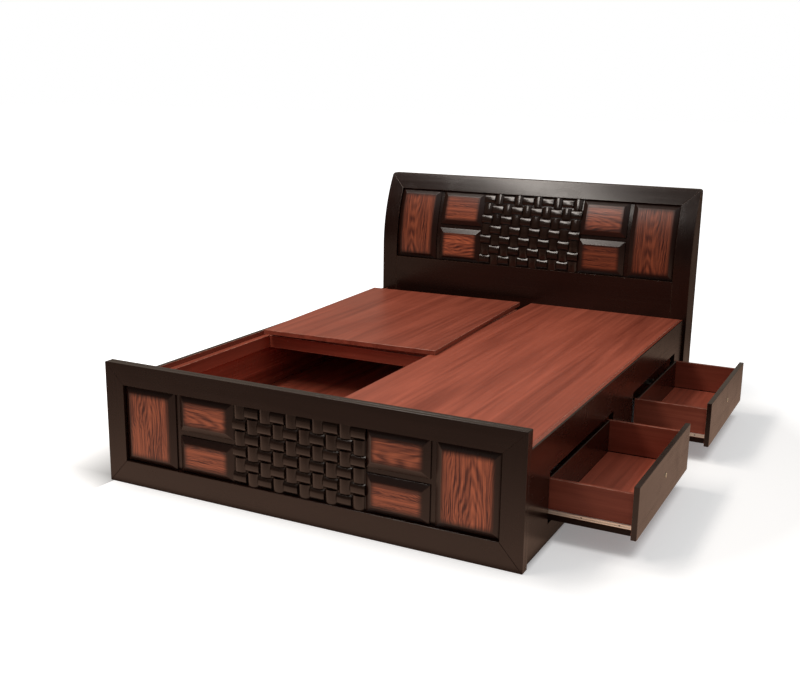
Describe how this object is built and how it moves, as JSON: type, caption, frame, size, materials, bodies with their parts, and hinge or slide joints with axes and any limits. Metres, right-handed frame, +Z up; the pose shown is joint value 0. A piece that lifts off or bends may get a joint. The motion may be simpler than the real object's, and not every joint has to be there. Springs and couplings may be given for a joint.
{
  "type": "storage bed",
  "caption": "Wide platform bed with a bowed headboard and framed footboard of raised and woven panels, loose lids over a deep storage compartment, and pull-out side drawers.",
  "frame": {"origin": "on the floor, at the centre of the outline of the bed with its drawers as stored", "axes": "+X across the bed to the drawer side, +Y along the bed from the footboard to the headboard, +Z up"},
  "size_m": [1.8185, 2.1698, 0.93],
  "materials": {
    "lacquer": "very dark espresso lacquer, satin to glossy",
    "laminate": "red-brown mahogany laminate, streaky grain along the bed, satin",
    "veneer": "red-orange rosewood veneer, glossy, shaded dark at the borders",
    "straps": "dark brown woven straps, glossy",
    "runner": "cream powder-coated steel",
    "brass": "satin brass"
  },
  "bodies": {
    "frame": {"headboard_top_rail": "lacquer", "headboard_left_stile": "lacquer", "headboard_right_stile": "lacquer", "headboard_lower_board": "lacquer", "headboard_backing": "lacquer", "headboard_left_cheek": "lacquer", "headboard_right_cheek": "lacquer", "headboard_back_panel": "lacquer", "footboard_top_rail": "lacquer", "footboard_bottom_rail": "lacquer", "footboard_left_stile": "lacquer", "footboard_right_stile": "lacquer", "footboard_backing": "lacquer", "headboard_panel_left_tall": "veneer", "headboard_panel_left_upper": "veneer", "headboard_panel_left_lower": "veneer", "headboard_panel_right_upper": "veneer", "headboard_panel_right_lower": "veneer", "headboard_panel_right_tall": "veneer", "headboard_weave": "straps", "footboard_panel_left_tall": "veneer", "footboard_panel_left_upper": "veneer", "footboard_panel_left_lower": "veneer", "footboard_panel_right_upper": "veneer", "footboard_panel_right_lower": "veneer", "footboard_panel_right_tall": "veneer", "footboard_weave": "straps", "left_side_panel": "lacquer", "right_side_panel": "lacquer", "centre_divider": "laminate", "deck_panel": "laminate", "left_cleat": "laminate", "cross_rail": "laminate", "storage_bottom": "laminate", "near_bay_foot_wall": "laminate", "near_bay_foot_runner": "runner", "near_bay_head_wall": "laminate", "near_bay_head_runner": "runner", "far_bay_foot_wall": "laminate", "far_bay_foot_runner": "runner", "far_bay_head_wall": "laminate", "far_bay_head_runner": "runner"},
    "front_lid": {"front_lid": "laminate"},
    "rear_lid": {"rear_lid": "laminate"},
    "near_drawer": {"near_drawer_front": "lacquer", "near_drawer_foot_side": "laminate", "near_drawer_head_side": "laminate", "near_drawer_back": "lacquer", "near_drawer_bottom": "laminate", "near_drawer_foot_runner": "runner", "near_drawer_head_runner": "runner"},
    "near_lock": {"near_drawer_lock": "brass"},
    "far_drawer": {"far_drawer_front": "lacquer", "far_drawer_foot_side": "laminate", "far_drawer_head_side": "laminate", "far_drawer_back": "lacquer", "far_drawer_bottom": "laminate", "far_drawer_foot_runner": "runner", "far_drawer_head_runner": "runner"},
    "far_lock": {"far_drawer_lock": "brass"}
  },
  "joints": [
    {"name": "near_drawer_slide", "type": "slide", "parent": "frame", "child": "near_drawer", "axis": [1, 0, 0], "range_m": [-0.274, 0.06]},
    {"name": "far_drawer_slide", "type": "slide", "parent": "frame", "child": "far_drawer", "axis": [1, 0, 0], "range_m": [-0.294, 0.04]},
    {"name": "front_lid_slide", "type": "slide", "parent": "frame", "child": "front_lid", "axis": [0, 1, 0], "range_m": [-0.886, 0]},
    {"name": "rear_lid_lift", "type": "slide", "parent": "frame", "child": "rear_lid", "axis": [0, 0, 1], "range_m": [0, 0.4]},
    {"name": "near_lock_turn", "type": "hinge", "parent": "near_drawer", "child": "near_lock", "pos_m": [0.88775, -0.49989, 0.158], "axis": [1, 0, 0], "range_deg": [0, 90]},
    {"name": "far_lock_turn", "type": "hinge", "parent": "far_drawer", "child": "far_lock", "pos_m": [0.90775, 0.46011, 0.158], "axis": [1, 0, 0], "range_deg": [0, 90]}
  ]
}
